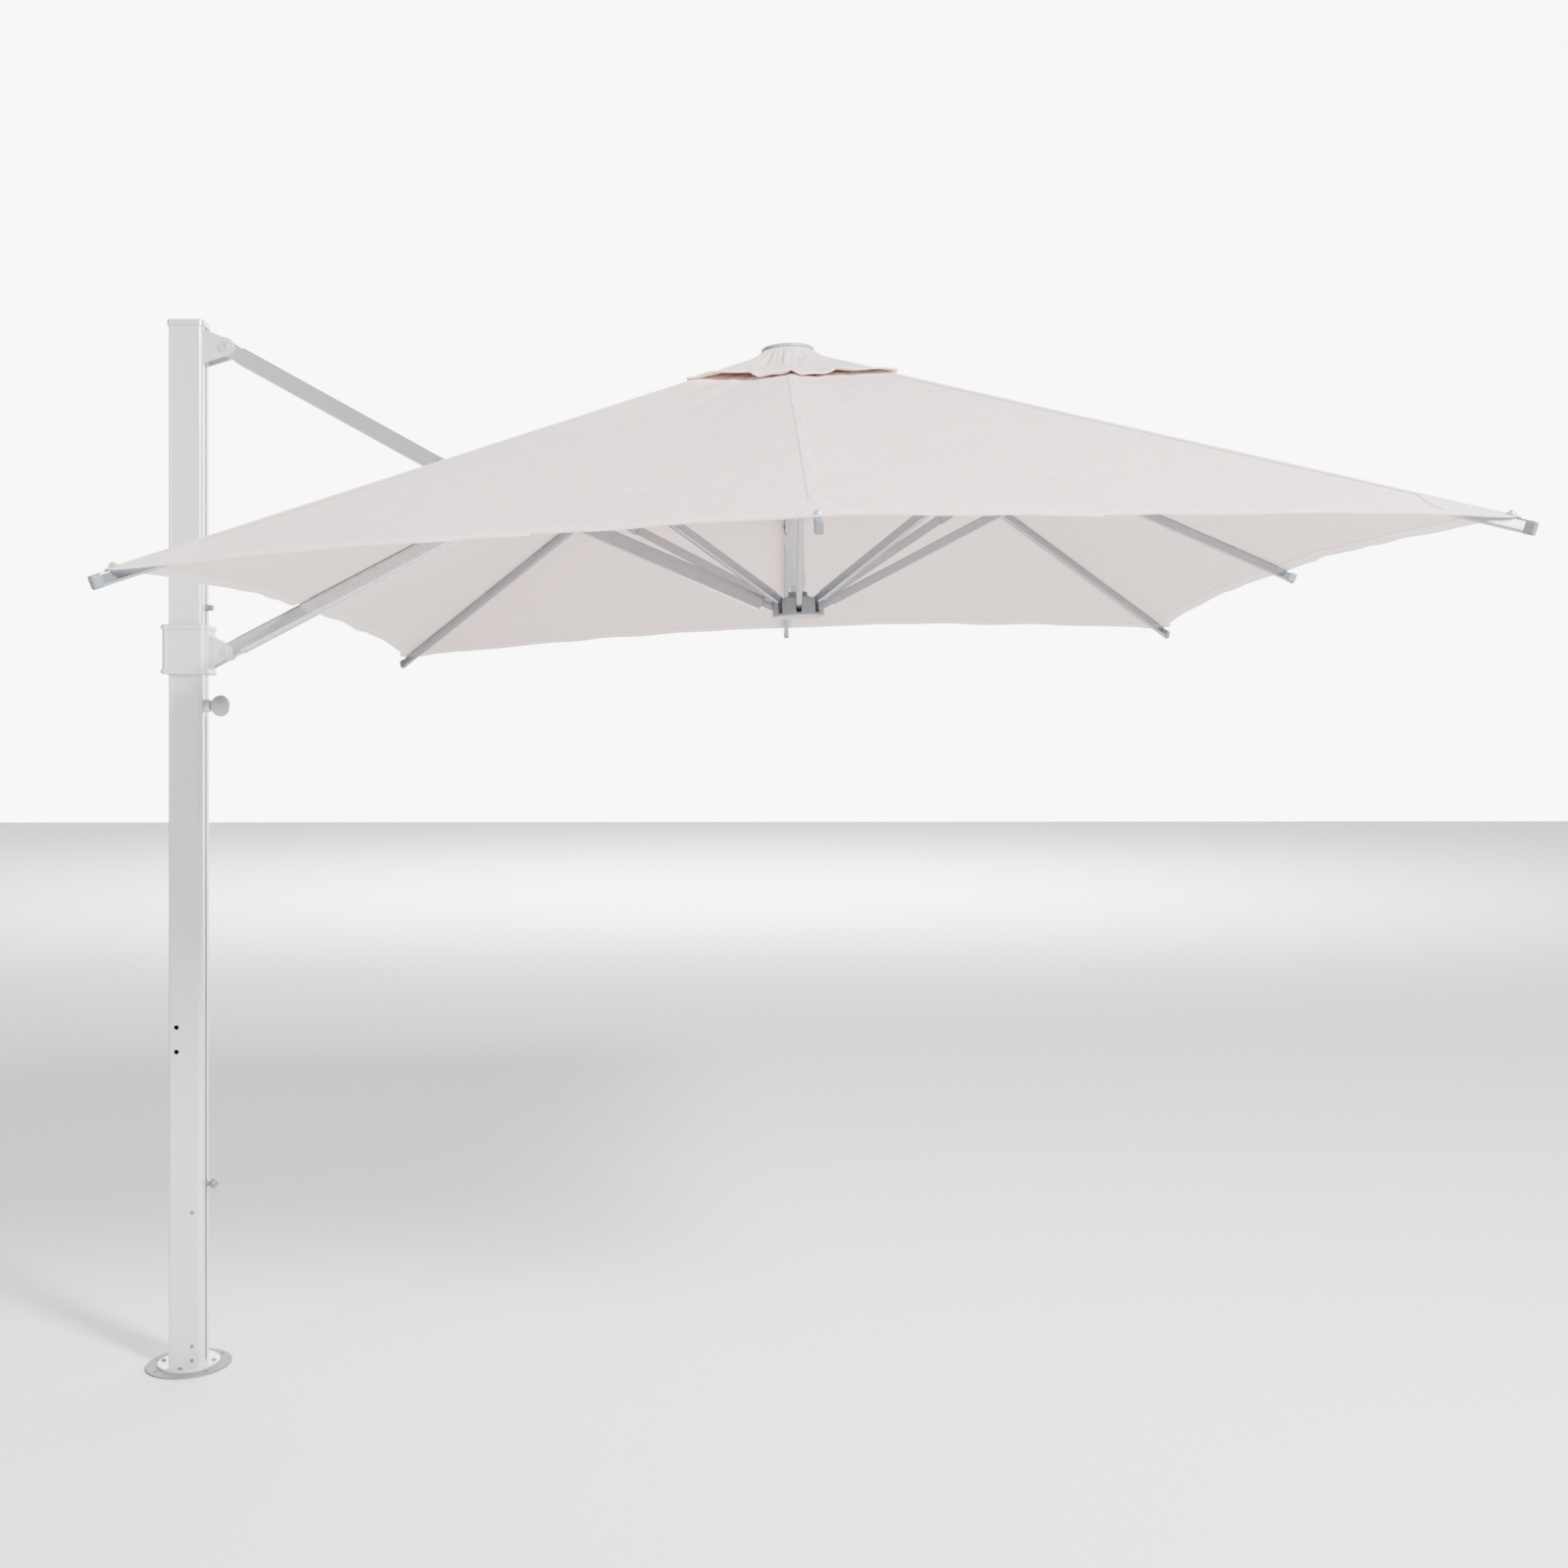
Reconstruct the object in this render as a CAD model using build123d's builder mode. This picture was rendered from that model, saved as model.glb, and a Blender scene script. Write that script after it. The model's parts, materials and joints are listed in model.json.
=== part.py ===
"""Cantilever parasol: a side mast with a square canopy hung on a folding two-arm linkage.

Frame: origin at the centre of the base plate's underside, +Z up the mast, +X from the mast
towards the canopy. Millimetres. The model is drawn open.

The linkage is a set of isosceles pairs, so every angle keeps a constant ratio to the fold:
the upper arm and the inner stretch of the main arm are equally long (the carriage then runs
straight down the mast), and each rib's inner stretch is as long as its strut (the lower hub
then runs straight along the centre pole).
"""
from build123d import *
from math import asin, atan2, cos, degrees, hypot, radians, sin, sqrt, tan
import os

os.makedirs("parts", exist_ok=True)

# Base plate and mast
PLATE_RADIUS = 122
PLATE_THICK = 5
FLANGE_RADIUS = 88
PLATE_TOP = 12
PLATE_BOLT_CIRCLE = 208
PLATE_BOLT_HOLE = 5.5
FLANGE_BOLT_CIRCLE = 148
MAST_X = 100
MAST_Y = 75
MAST_CORNER = 12
MAST_WALL = 3
MAST_TOP = 3075
GROOVE_WIDTH = 12
GROOVE_DEPTH = 9
SPIGOT_TOP = 480
SPIGOT_X = 78
SPIGOT_Y = 64
SPIGOT_WALL = 6
SPIGOT_CORNER = 8
SPIGOT_INNER_CORNER = 5
CAP_OVERHANG = 4.5
CAP_HEIGHT = 18

# Linkage
PIVOT_X = 113
TOP_PIVOT_Z = 3014
CARRIAGE_Z = 2113
CANOPY_TILT = 2.3
RIB_SLOPE = 25.6
PIN_LIFT = 16
ARM_TO_CROWN = 1812
RIB_PIN = 830
HUB_RADIUS = 66

# Members
ARM_HEIGHT = 52
ARM_WIDTH = 36
UPPER_HEIGHT = 51
UPPER_WIDTH = 40
STRUT_HEIGHT = 45
RIB_HEIGHT = 30
RIB_WIDTH = 18
TONGUE_WIDTH = 14
SLOT_WIDTH = 16
PIN_RADIUS = 3
BOLT_RADIUS = 6
RUNNING = 0.05
WALL = 2

# Crown, hub and pole
CROWN_RADIUS = 78
CORNER_LIFT = 15
POLE_BOTTOM = -655
POLE_OUTER = 25
POLE_MIDDLE = 22.6
POLE_INNER = 20.4

# Canopy
HALF_SIDE = 1500
CORNER_DROP = 745
HEM_INSET = 22
FABRIC_LIFT = 20
ARM_FABRIC_LIFT = 38
FABRIC_THICK = 2.2
VENT_RADIUS = 120
PANEL_GAP = 0.5
FLAP_HALF = 300
FLAP_EDGE_Z = -66
FLAP_TOP_Z = 46
DISC_RADIUS = 80

# Worked-out linkage points
ARM_ANGLE = RIB_SLOPE + CANOPY_TILT
HALF_PIVOT_GAP = (TOP_PIVOT_Z - CARRIAGE_Z) / 2


def arm_point(along, across=0.0):
    """A point beside the main arm's centreline, measured from the carriage pivot."""
    angle = radians(ARM_ANGLE)
    x = PIVOT_X + along * cos(angle) - across * sin(angle)
    z = CARRIAGE_Z + along * sin(angle) + across * cos(angle)
    return Vector(x, 0, z)


ELBOW_ALONG = (HALF_PIVOT_GAP - PIN_LIFT * cos(radians(ARM_ANGLE))) / sin(radians(ARM_ANGLE))
ELBOW = arm_point(ELBOW_ALONG, PIN_LIFT)
UPPER_LENGTH = hypot(ELBOW.X - PIVOT_X, ELBOW.Z - TOP_PIVOT_Z)
CROWN_PIN = arm_point(ARM_TO_CROWN)
STRUT_PIN = arm_point(ARM_TO_CROWN - RIB_PIN)
AXIS_UP = Vector(-sin(radians(CANOPY_TILT)), 0, cos(radians(CANOPY_TILT)))
AXIS_OUT = Vector(cos(radians(CANOPY_TILT)), 0, sin(radians(CANOPY_TILT)))
CROWN_CENTRE = CROWN_PIN + AXIS_OUT * HUB_RADIUS
HUB_DROP = 2 * RIB_PIN * sin(radians(RIB_SLOPE))
CORNER_REACH = HALF_SIDE * sqrt(2)
CORNER_SLOPE = degrees(atan2(CORNER_DROP + CORNER_LIFT, CORNER_REACH - HUB_RADIUS))
RIB_NAMES = {"near": -90, "near_outer": -45, "outer": 0, "far_outer": 45, "far": 90,
             "far_inner": 135, "near_inner": -135}


def is_corner(azimuth):
    return azimuth % 90 != 0


def side_plane(point, angle):
    """Local x runs along the member at this angle above +X, local y is up, z is -Y."""
    direction = Vector(cos(radians(angle)), 0, sin(radians(angle)))
    return Plane(origin=point, x_dir=direction, z_dir=(0, -1, 0))


def radial_plane(azimuth, radius, height, slope):
    """A plane through the canopy axis: local x runs outward and down by the slope."""
    out = (AXIS_OUT * cos(radians(azimuth))) + (Vector(0, 1, 0) * sin(radians(azimuth)))
    point = CROWN_CENTRE + out * radius + AXIS_UP * height
    along = out * cos(radians(slope)) - AXIS_UP * sin(radians(slope))
    return Plane(origin=point, x_dir=along, z_dir=out.cross(AXIS_UP))


def canopy_plane(height):
    return Plane(origin=CROWN_CENTRE + AXIS_UP * height, x_dir=AXIS_OUT, z_dir=AXIS_UP)


def tube(member, start, end, width, height, wall, low_radius):
    """A hollow bar along a member's local x, with its lower edges rounder than its upper."""
    origin = member.from_local_coords(Vector(start, 0, 0))
    section = Plane(origin=origin, x_dir=member.z_dir, z_dir=member.x_dir)
    with BuildPart() as bar:
        with BuildSketch(section) as outline:
            Rectangle(width, height)
            low = outline.vertices().sort_by(Axis(origin, member.y_dir))[:2]
            fillet(low, low_radius)
            high = outline.vertices().sort_by(Axis(origin, member.y_dir))[-2:]
            fillet(high, 4)
            offset(amount=-wall, kind=Kind.INTERSECTION, mode=Mode.SUBTRACT)
        extrude(amount=end - start)
    return bar.part


def tongue(member, length, height, width, bore, plug_from, plug_height, plug_width):
    """A rounded lug about a pin at the member's origin, with a plug that fills a tube's end."""
    with BuildPart() as lug:
        with BuildSketch(member):
            Circle(height / 2)
            with Locations((plug_from / 2, 0)):
                Rectangle(plug_from, height)
        extrude(amount=width / 2, both=True)
        with BuildSketch(member):
            with Locations(((plug_from + length) / 2, 0)):
                Rectangle(length - plug_from, plug_height)
        extrude(amount=plug_width / 2, both=True)
        with BuildSketch(member):
            Circle(bore)
        extrude(amount=width, both=True, mode=Mode.SUBTRACT)
    return lug.part


def fork(member, pin_to_web, web, end, height, end_height, inner, outer, bore, plug_height,
         plug_width):
    """Two cheeks about a pin at the member's origin, joined by a web that plugs a tube."""
    with BuildPart() as piece:
        with BuildSketch(member):
            Circle(end_height / 2)
            with BuildLine():
                Polyline((0, end_height / 2), (pin_to_web, height / 2), (pin_to_web + web, height / 2),
                         (pin_to_web + web, -height / 2), (pin_to_web, -height / 2),
                         (0, -end_height / 2), close=True)
            make_face()
        extrude(amount=outer / 2, both=True)
        with BuildSketch(member):
            with Locations(((pin_to_web - height) / 2, 0)):
                Rectangle(pin_to_web + height, 2 * height)
        extrude(amount=inner / 2, both=True, mode=Mode.SUBTRACT)
        with BuildSketch(member):
            with Locations(((pin_to_web + web + end) / 2, 0)):
                Rectangle(end - pin_to_web - web, plug_height)
        extrude(amount=plug_width / 2, both=True)
        with BuildSketch(member):
            Circle(bore)
        extrude(amount=outer, both=True, mode=Mode.SUBTRACT)
    return piece.part


def bolt(member, half_grip, shank, head_radius, head_height, socket):
    """A pivot bolt across a member's plane: shank, a round head with a socket, and a nut."""
    top = member.offset(half_grip)
    bottom = member.offset(-half_grip)
    with BuildPart() as piece:
        with BuildSketch(member):
            Circle(shank)
        extrude(amount=half_grip, both=True)
        with BuildSketch(top):
            Circle(head_radius)
        extrude(amount=head_height)
        fillet(piece.faces().sort_by(Axis(member.origin, member.z_dir))[-1].edges(), head_height / 4)
        with BuildSketch(top.offset(head_height)):
            RegularPolygon(socket, 6)
        extrude(amount=-head_height / 2, mode=Mode.SUBTRACT)
        with BuildSketch(bottom):
            RegularPolygon(head_radius * 0.85, 6)
        extrude(amount=-head_height)
    return piece.part


def write(piece, name):
    piece.label = name
    export_step(piece, f"parts/{name}.step")


def write_group(pieces, name):
    write(Compound(children=list(pieces)), name)


# ---------------------------------------------------------------- base and mast

with BuildPart() as base_plate:
    with BuildSketch():
        Circle(PLATE_RADIUS)
    extrude(amount=PLATE_THICK)
    fillet(base_plate.edges().group_by(Axis.Z)[-1], 2)
    with Locations((0, 0, PLATE_THICK)):
        with PolarLocations(PLATE_BOLT_CIRCLE / 2, 4, start_angle=45):
            Hole(PLATE_BOLT_HOLE)
        with PolarLocations(FLANGE_BOLT_CIRCLE / 2, 4):
            Hole(4)
write(base_plate.part, "base_plate")

with BuildPart() as base_flange:
    with BuildSketch(Plane.XY.offset(PLATE_THICK)):
        Circle(FLANGE_RADIUS)
    extrude(amount=PLATE_TOP - PLATE_THICK)
    chamfer(base_flange.edges().group_by(Axis.Z)[-1], 2)
    with Locations((0, 0, PLATE_TOP)):
        with PolarLocations(FLANGE_BOLT_CIRCLE / 2, 4):
            Hole(4)
    with BuildSketch(Plane.XY.offset(PLATE_TOP)):
        with PolarLocations(FLANGE_RADIUS - 8, 2, start_angle=-115, angular_range=70):
            SlotOverall(26, 9, rotation=90)
    extrude(amount=-5, mode=Mode.SUBTRACT)
write(base_flange.part, "base_flange")

with BuildPart() as flange_bolts:
    with Locations(*[(FLANGE_BOLT_CIRCLE / 2 * cos(radians(a)),
                      FLANGE_BOLT_CIRCLE / 2 * sin(radians(a)), 0) for a in (0, 90, 180, 270)]):
        Cylinder(4, PLATE_TOP, align=(Align.CENTER, Align.CENTER, Align.MIN))
    with BuildSketch(Plane.XY.offset(PLATE_TOP)):
        with PolarLocations(FLANGE_BOLT_CIRCLE / 2, 4):
            Circle(7)
            RegularPolygon(3, 6, mode=Mode.SUBTRACT)
    extrude(amount=4)
write(flange_bolts.part, "flange_bolts")

with BuildPart() as mast_spigot:
    with BuildSketch(Plane.XY.offset(PLATE_TOP)):
        with Locations((-7, 0)):
            RectangleRounded(SPIGOT_X, SPIGOT_Y, SPIGOT_CORNER)
            RectangleRounded(SPIGOT_X - 2 * SPIGOT_WALL, SPIGOT_Y - 2 * SPIGOT_WALL, SPIGOT_INNER_CORNER,
                             mode=Mode.SUBTRACT)
    extrude(amount=SPIGOT_TOP - PLATE_TOP)
write(mast_spigot.part, "mast_spigot")

SCREW_X = 22
SCREW_HEIGHTS = (24, 66, 460)
SCREW_RADIUS = 3
HOLE_X = -24
MAST_FACE = MAST_Y / 2
HOLE_HEIGHTS = (933, 1005)
MAST_NEAR = Plane(origin=(0, -MAST_FACE, 0), x_dir=(1, 0, 0), z_dir=(0, -1, 0))
with BuildPart() as mast_tube:
    with BuildSketch(Plane.XY.offset(PLATE_TOP)):
        RectangleRounded(MAST_X, MAST_Y, MAST_CORNER)
        RectangleRounded(MAST_X - 2 * MAST_WALL, MAST_Y - 2 * MAST_WALL, MAST_CORNER - MAST_WALL,
                         mode=Mode.SUBTRACT)
        with Locations((MAST_X / 2 - (GROOVE_DEPTH + MAST_WALL) / 2 - 1, 0)):
            Rectangle(GROOVE_DEPTH + MAST_WALL - 2, GROOVE_WIDTH + 2 * MAST_WALL)
        with Locations((MAST_X / 2 - GROOVE_DEPTH / 2, 0)):
            Rectangle(GROOVE_DEPTH, GROOVE_WIDTH, mode=Mode.SUBTRACT)
    extrude(amount=MAST_TOP - PLATE_TOP)
    with BuildSketch(MAST_NEAR):
        with Locations(*[(SCREW_X, z) for z in SCREW_HEIGHTS]):
            Circle(SCREW_RADIUS)
        with Locations(*[(HOLE_X, z) for z in HOLE_HEIGHTS]):
            Circle(7.5)
    extrude(amount=-2 * MAST_WALL, mode=Mode.SUBTRACT)
write(mast_tube.part, "mast_tube")

with BuildPart() as spigot_screws:
    with BuildSketch(MAST_NEAR):
        with Locations(*[(SCREW_X, z) for z in SCREW_HEIGHTS]):
            Circle(SCREW_RADIUS)
    extrude(amount=-(MAST_FACE - 32))
    with BuildSketch(MAST_NEAR):
        with Locations(*[(SCREW_X, z) for z in SCREW_HEIGHTS]):
            Circle(5.5)
    extrude(amount=2.6)
    fillet(spigot_screws.faces().group_by(Axis.Y)[0].edges(), 1.5)
write(spigot_screws.part, "spigot_screws")

with BuildPart() as mast_cap:
    with BuildSketch(Plane.XY.offset(MAST_TOP)):
        RectangleRounded(MAST_X + 2 * CAP_OVERHANG, MAST_Y + 2 * CAP_OVERHANG, MAST_CORNER + CAP_OVERHANG)
    extrude(amount=CAP_HEIGHT)
    fillet(mast_cap.edges().group_by(Axis.Z)[-1], 5)
    with BuildSketch(Plane.XY.offset(MAST_TOP)):
        with Locations((-6, 0)):
            RectangleRounded(MAST_X - 2 * MAST_WALL - 14, MAST_Y - 2 * MAST_WALL - 1, 8)
    extrude(amount=-25)
write(mast_cap.part, "mast_cap")

EAR_THICK = 8
TOP_EAR_GAP = UPPER_WIDTH + 1
CARRIAGE_EAR_GAP = ARM_WIDTH + 1


def ear_block(face_x, root_low, root_high, pivot_z, end_radius, gap):
    """A clevis: a back plate on a vertical face and two ears that taper to a round end."""
    pivot = side_plane((PIVOT_X, 0, pivot_z), 0)
    reach = PIVOT_X - face_x
    with BuildPart() as block:
        with BuildSketch(pivot):
            with BuildLine():
                Polyline((0, end_radius), (-reach, root_high), (-reach, -root_low), (0, -end_radius),
                         close=True)
            make_face()
            Circle(end_radius)
        extrude(amount=gap / 2 + EAR_THICK, both=True)
        with BuildSketch(pivot):
            with Locations((end_radius - (reach - 6 + end_radius) / 2, 0)):
                Rectangle(reach - 6 + end_radius, 4 * end_radius)
        extrude(amount=gap / 2, both=True, mode=Mode.SUBTRACT)
        with BuildSketch(pivot):
            Circle(BOLT_RADIUS)
        extrude(amount=gap, both=True, mode=Mode.SUBTRACT)
    return block.part


write(ear_block(MAST_X / 2, 48, 52, TOP_PIVOT_Z, 28, TOP_EAR_GAP), "top_bracket")
top_plane = side_plane((PIVOT_X, 0, TOP_PIVOT_Z), 0)
write(bolt(top_plane, TOP_EAR_GAP / 2 + EAR_THICK, BOLT_RADIUS, 14, 7, 6), "top_pivot_bolt")

STOP_Z = 2245
HOOK_Z = 536
with BuildPart() as mast_pegs:
    groove_floor = Plane(origin=(MAST_X / 2 - GROOVE_DEPTH, 0, STOP_Z), x_dir=(0, 1, 0), z_dir=(1, 0, 0))
    with BuildSketch(groove_floor):
        Circle(5.5)
    extrude(amount=GROOVE_DEPTH)
    with BuildSketch(groove_floor.offset(GROOVE_DEPTH)):
        Circle(9)
    extrude(amount=22)
    hook_side = Plane(origin=(MAST_X / 2, 0, HOOK_Z), x_dir=(1, 0, 0), z_dir=(0, -1, 0))
    with BuildSketch(hook_side):
        with BuildLine():
            Line((-GROOVE_DEPTH, 0), (-GROOVE_DEPTH, 5.5))
            Line((-GROOVE_DEPTH, 5.5), (0, 5.5))
            Line((0, 5.5), (0, 7))
            Line((0, 7), (14, 7))
            ThreePointArc((14, 7), (20, 15), (30, 13))
            Line((30, 13), (35, 6))
            Line((35, 6), (35, 0))
            Line((35, 0), (-GROOVE_DEPTH, 0))
        make_face()
    revolve(axis=Axis((0, 0, HOOK_Z), (1, 0, 0)))
write(mast_pegs.part, "mast_pegs")

# ---------------------------------------------------------------- carriage on the mast

SLEEVE_CLEAR = 0.5
SLEEVE_X = 132
SLEEVE_Y = 107
SLEEVE_LOW = CARRIAGE_Z - 67
SLEEVE_HIGH = CARRIAGE_Z + 79
LINER_THICK = 4
KNOB_DROP = 159
KNOB_Z = CARRIAGE_Z - KNOB_DROP

with BuildPart() as carriage_sleeve:
    bore_x = MAST_X + 2 * SLEEVE_CLEAR + 2 * LINER_THICK
    bore_y = MAST_Y + 2 * SLEEVE_CLEAR + 2 * LINER_THICK
    with BuildSketch(Plane.XY.offset(SLEEVE_LOW)):
        RectangleRounded(SLEEVE_X, SLEEVE_Y, 20)
    extrude(amount=SLEEVE_HIGH - SLEEVE_LOW)
    with BuildSketch(Plane.XY.offset(SLEEVE_LOW), Plane.XY.offset(SLEEVE_HIGH - 14)):
        RectangleRounded(SLEEVE_X + 8, SLEEVE_Y + 8, 23)
    extrude(amount=14)
    fillet(carriage_sleeve.edges().group_by(Axis.Z)[-1], 4)
    fillet(carriage_sleeve.edges().group_by(Axis.Z)[0], 4)
    with BuildSketch(Plane.XY.offset(SLEEVE_LOW)):
        RectangleRounded(bore_x, bore_y, 16)
    extrude(amount=SLEEVE_HIGH - SLEEVE_LOW, mode=Mode.SUBTRACT)
    add(ear_block(SLEEVE_X / 2, 50, 50, CARRIAGE_Z, 24, CARRIAGE_EAR_GAP))
write(carriage_sleeve.part, "carriage_sleeve")

with BuildPart() as carriage_liners:
    with BuildSketch(Plane.XY.offset(SLEEVE_LOW + 2), Plane.XY.offset(SLEEVE_HIGH - 42)):
        RectangleRounded(MAST_X + 2 * SLEEVE_CLEAR + 2 * LINER_THICK,
                         MAST_Y + 2 * SLEEVE_CLEAR + 2 * LINER_THICK, 16)
        RectangleRounded(MAST_X + 2 * SLEEVE_CLEAR, MAST_Y + 2 * SLEEVE_CLEAR, 12.5,
                         mode=Mode.SUBTRACT)
    extrude(amount=40)
write(carriage_liners.part, "carriage_liners")

carriage_plane = side_plane((PIVOT_X, 0, CARRIAGE_Z), 0)
write(bolt(carriage_plane, CARRIAGE_EAR_GAP / 2 + EAR_THICK, BOLT_RADIUS, 9.5, 6, 5), "carriage_bolt")

SLIDER_CLEAR = 0.4
SLIDER_FACE = MAST_X / 2 - 1
with BuildPart() as lock_slider:
    with BuildSketch(Plane.XY.offset(KNOB_Z - 30)):
        with Locations((MAST_X / 2 - GROOVE_DEPTH / 2 - 0.3, 0)):
            Rectangle(GROOVE_DEPTH - 1.4, GROOVE_WIDTH - 2 * SLIDER_CLEAR)
    extrude(amount=SLEEVE_LOW + 40 - KNOB_Z + 30)
    slider_front = Plane(origin=(MAST_X / 2 + SLEEVE_CLEAR, 0, KNOB_Z), x_dir=(0, 1, 0), z_dir=(1, 0, 0))
    with BuildSketch(slider_front):
        Circle(19.5)
    extrude(amount=15)
    fillet(lock_slider.faces().sort_by(Axis.X)[-1].edges(), 4)
    with BuildSketch(slider_front):
        Circle(5)
    extrude(amount=-3)
    with BuildSketch(slider_front):
        Circle(4 + RUNNING)
    extrude(amount=20, mode=Mode.SUBTRACT)
write(lock_slider.part, "lock_slider")

with BuildPart() as lock_knob:
    with BuildSketch(Plane(origin=(MAST_X / 2, 0, KNOB_Z), x_dir=(1, 0, 0), z_dir=(0, -1, 0))):
        with BuildLine():
            Line((2, 0), (2, 4))
            Line((2, 4), (17, 4))
            Line((17, 4), (17, 12))
            ThreePointArc((17, 12), (27, 26), (45, 32.5))
            ThreePointArc((45, 32.5), (60, 26), (67, 12))
            Line((67, 12), (69, 6))
            Line((69, 6), (69, 0))
            Line((69, 0), (2, 0))
        make_face()
    revolve(axis=Axis((0, 0, KNOB_Z), (1, 0, 0)))
write(lock_knob.part, "lock_knob")

# ---------------------------------------------------------------- upper arm

UPPER_ANGLE = degrees(atan2(ELBOW.Z - TOP_PIVOT_Z, ELBOW.X - PIVOT_X))
upper_member = side_plane((PIVOT_X, 0, TOP_PIVOT_Z), UPPER_ANGLE)
upper_reverse = side_plane(ELBOW, UPPER_ANGLE + 180)
UPPER_FORK = 200
UPPER_ROOT = 48
FORK_PLUG = 70
MAIN_FORK_GAP = ARM_WIDTH + 1
MAIN_FORK_WIDTH = MAIN_FORK_GAP + 8
UPPER_FORK_GAP = MAIN_FORK_WIDTH + 2
UPPER_FORK_WIDTH = UPPER_FORK_GAP + 12
PLUG_HEIGHT = 9
PLUG_WIDTH = 14
write(tube(upper_member, UPPER_ROOT, UPPER_LENGTH - UPPER_FORK - 20, UPPER_WIDTH, UPPER_HEIGHT, 2.5, 12),
      "upper_arm_tube")
upper_root = tongue(upper_member, UPPER_ROOT + 60, 44, UPPER_WIDTH - 1, BOLT_RADIUS + RUNNING, UPPER_ROOT,
                    UPPER_HEIGHT - PLUG_HEIGHT, UPPER_WIDTH - PLUG_WIDTH)
upper_fork = fork(upper_reverse, UPPER_FORK, 20, UPPER_FORK + 20 + FORK_PLUG, UPPER_HEIGHT, 36,
                  UPPER_FORK_GAP, UPPER_FORK_WIDTH, BOLT_RADIUS, UPPER_HEIGHT - PLUG_HEIGHT,
                  UPPER_WIDTH - PLUG_WIDTH)
write_group([upper_root, upper_fork], "upper_arm_ends")
write(bolt(upper_reverse, UPPER_FORK_WIDTH / 2, BOLT_RADIUS, 12, 5, 5), "elbow_bolt")

# ---------------------------------------------------------------- main arm

arm_member = side_plane((PIVOT_X, 0, CARRIAGE_Z), ARM_ANGLE)
arm_reverse = side_plane(CROWN_PIN, ARM_ANGLE + 180)
ARM_ROOT = 42
ARM_TIP = 46
arm_tube = tube(arm_member, ARM_ROOT, ARM_TO_CROWN - ARM_TIP, ARM_WIDTH, ARM_HEIGHT, 2.5, 14)
with BuildPart() as arm_bored:
    add(arm_tube)
    with BuildSketch(arm_member):
        with Locations((ELBOW_ALONG, PIN_LIFT), (ARM_TO_CROWN - RIB_PIN, 0)):
            Circle(BOLT_RADIUS + RUNNING)
    extrude(amount=ARM_WIDTH, both=True, mode=Mode.SUBTRACT)
write(arm_bored.part, "main_arm_tube")
arm_root = tongue(arm_member, ARM_ROOT + 60, 44, ARM_WIDTH - 1, BOLT_RADIUS + RUNNING, ARM_ROOT,
                  ARM_HEIGHT - PLUG_HEIGHT - 1, ARM_WIDTH - PLUG_WIDTH - 2)
arm_tip = tongue(arm_reverse, ARM_TIP + 60, 22, TONGUE_WIDTH, PIN_RADIUS + RUNNING, ARM_TIP,
                 ARM_HEIGHT - PLUG_HEIGHT - 1, ARM_WIDTH - PLUG_WIDTH - 2)
write_group([arm_root, arm_tip], "main_arm_ends")

# ---------------------------------------------------------------- crown, pole and hub

PIN_HALF = 20
ALL_AZIMUTHS = [180] + list(RIB_NAMES.values())


def pin_plane(azimuth, base_height):
    lift = CORNER_LIFT if is_corner(azimuth) else 0
    return radial_plane(azimuth, HUB_RADIUS, base_height + lift, 0)


def pins(base_height):
    with BuildPart() as group:
        for azimuth in ALL_AZIMUTHS:
            with BuildSketch(pin_plane(azimuth, base_height)):
                Circle(PIN_RADIUS)
            extrude(amount=PIN_HALF, both=True)
    return group.part


def radial_slots(low, high, inner):
    """Eight radial slots for the rib or strut tongues."""
    with BuildPart() as slots:
        for azimuth in ALL_AZIMUTHS:
            with BuildSketch(radial_plane(azimuth, 0, 0, 0)):
                with Locations(((inner + 120) / 2, (low + high) / 2)):
                    Rectangle(120 - inner, high - low)
            extrude(amount=SLOT_WIDTH / 2, both=True)
    return slots.part


CROWN_LOW = -15
CROWN_HIGH = 34
NECK_RADIUS = 30
with BuildPart() as crown_hub:
    with BuildSketch(canopy_plane(CROWN_LOW)):
        Circle(CROWN_RADIUS)
    extrude(amount=CROWN_HIGH - CROWN_LOW)
    add(radial_slots(CROWN_LOW - 5, CROWN_HIGH - 5, 50), mode=Mode.SUBTRACT)
    with BuildSketch(canopy_plane(CROWN_HIGH)):
        Circle(NECK_RADIUS)
    extrude(amount=FLAP_TOP_Z + 4 - CROWN_HIGH)
    with BuildSketch(canopy_plane(CROWN_LOW)):
        Circle(POLE_OUTER)
    extrude(amount=40, mode=Mode.SUBTRACT)
    add(pins(0), mode=Mode.SUBTRACT)
write(crown_hub.part, "crown_hub")
write(pins(0), "crown_pins")

with BuildPart() as crown_disc:
    with BuildSketch(canopy_plane(FLAP_TOP_Z + 4)):
        Circle(DISC_RADIUS)
    extrude(amount=10)
    fillet(crown_disc.faces().sort_by(Axis(CROWN_CENTRE, AXIS_UP))[-1].edges(), 6)
write(crown_disc.part, "crown_disc")


def pole(high, low, radius, wall):
    with BuildPart() as stage:
        with BuildSketch(canopy_plane(low)):
            Circle(radius)
            Circle(radius - wall, mode=Mode.SUBTRACT)
        extrude(amount=high - low)
    return stage.part


HUB_LOW = -HUB_DROP - 26
HUB_HIGH = -HUB_DROP + 26
write(pole(CROWN_LOW + 40, POLE_BOTTOM, POLE_OUTER, WALL), "pole_outer")
write(pole(-40, POLE_BOTTOM + 10, POLE_MIDDLE, 1.8), "pole_middle")
write(pole(-110, HUB_LOW + 8, POLE_INNER, WALL), "pole_inner")

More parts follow.
